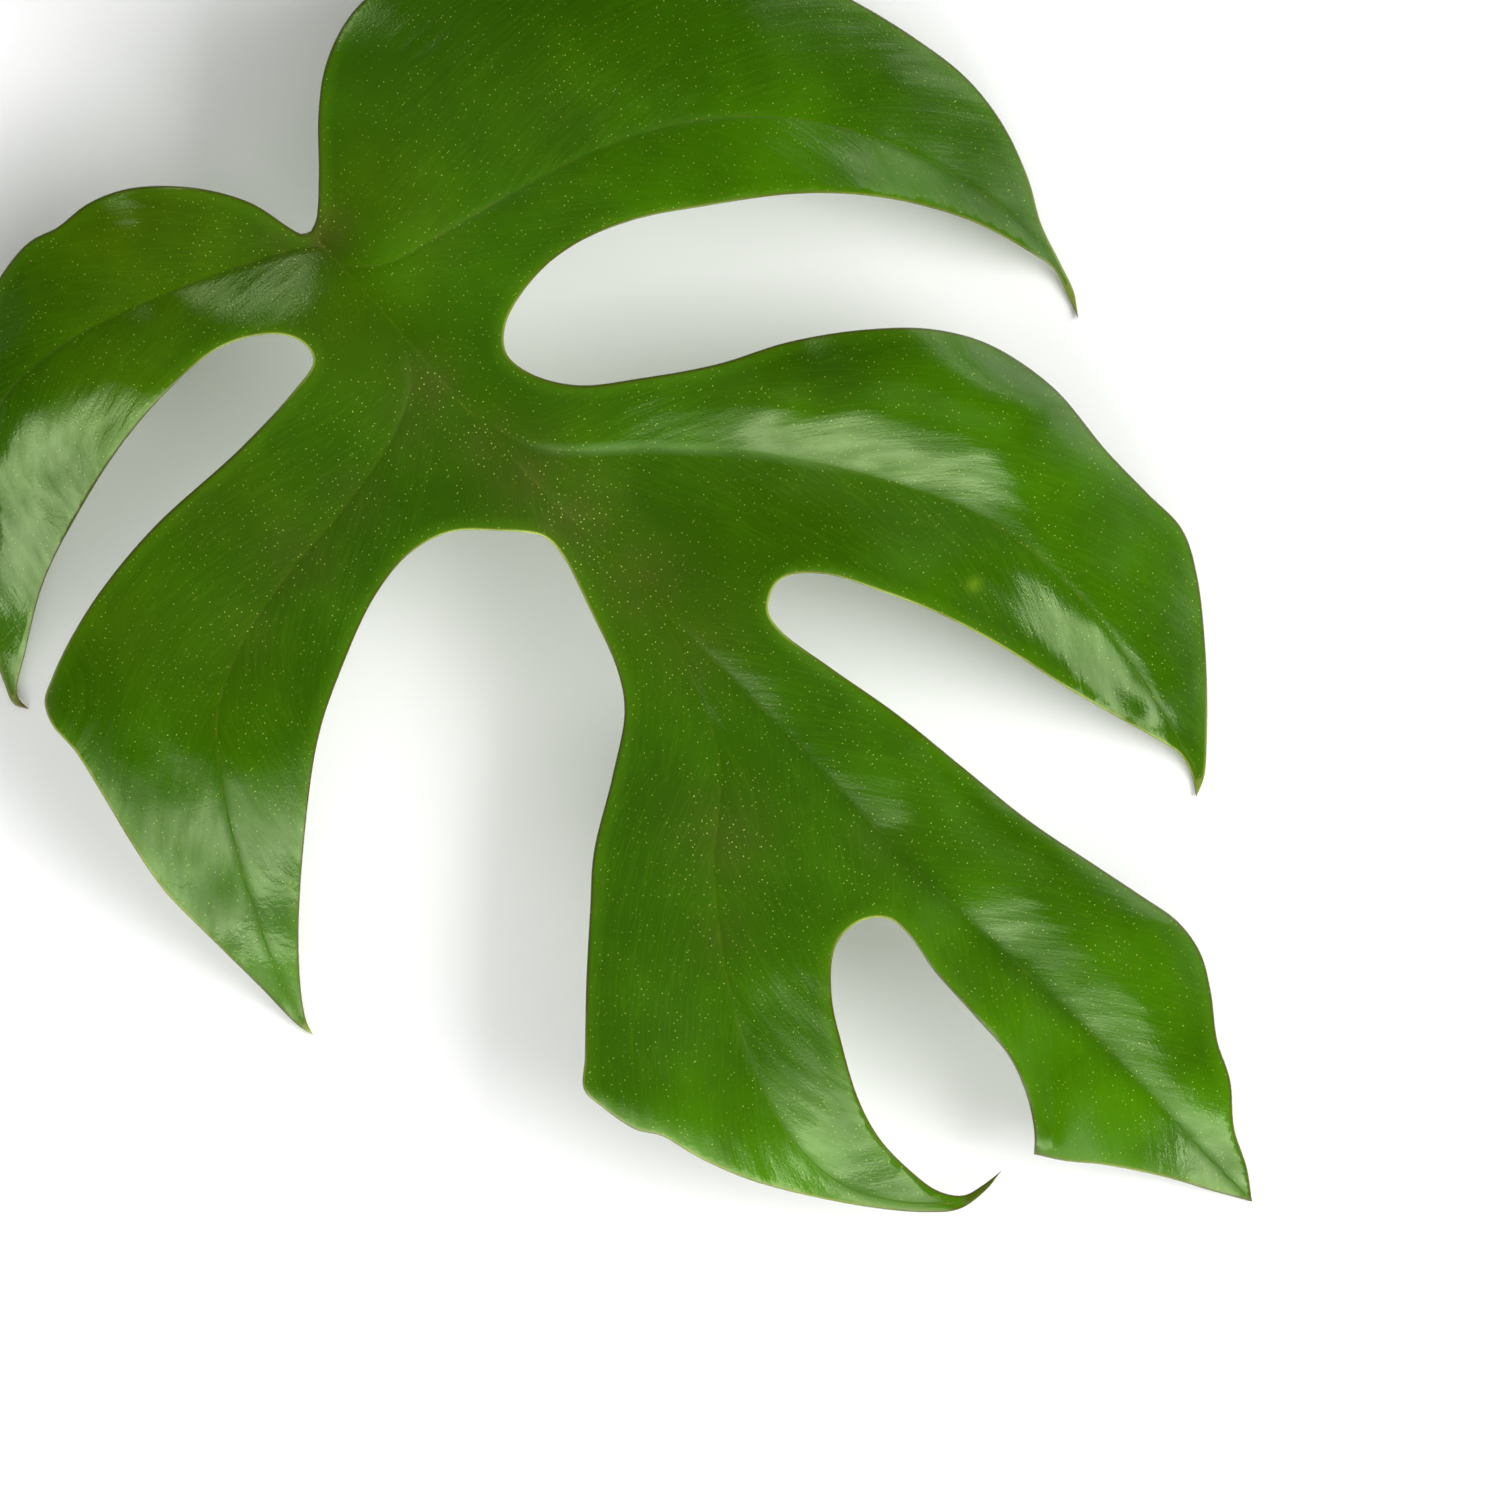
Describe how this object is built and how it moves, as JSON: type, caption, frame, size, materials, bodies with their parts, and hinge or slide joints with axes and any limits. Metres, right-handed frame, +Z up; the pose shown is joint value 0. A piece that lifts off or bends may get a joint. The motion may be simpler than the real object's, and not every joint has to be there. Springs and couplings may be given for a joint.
{
  "type": "rhaphidophora leaf",
  "caption": "Picked split leaf with deep-cut curved lobes, drip tips, impressed veins and a short cut stalk, lying face up.",
  "frame": {"origin": "under the middle of the leaf's box, on the surface that the leaf lies on", "axes": "+X along the midrib from the base notch to the terminal tip, +Y across the blade towards the two upper lobes, +Z up out of the glossy upper face"},
  "size_m": [0.1852, 0.1372, 0.0362],
  "materials": {
    "blade": "glossy deep green leaf cuticle, paler and duller below",
    "petiole": "satin light green stalk"
  },
  "bodies": {
    "root": {"blade": "blade", "petiole": "petiole"}
  },
  "joints": []
}
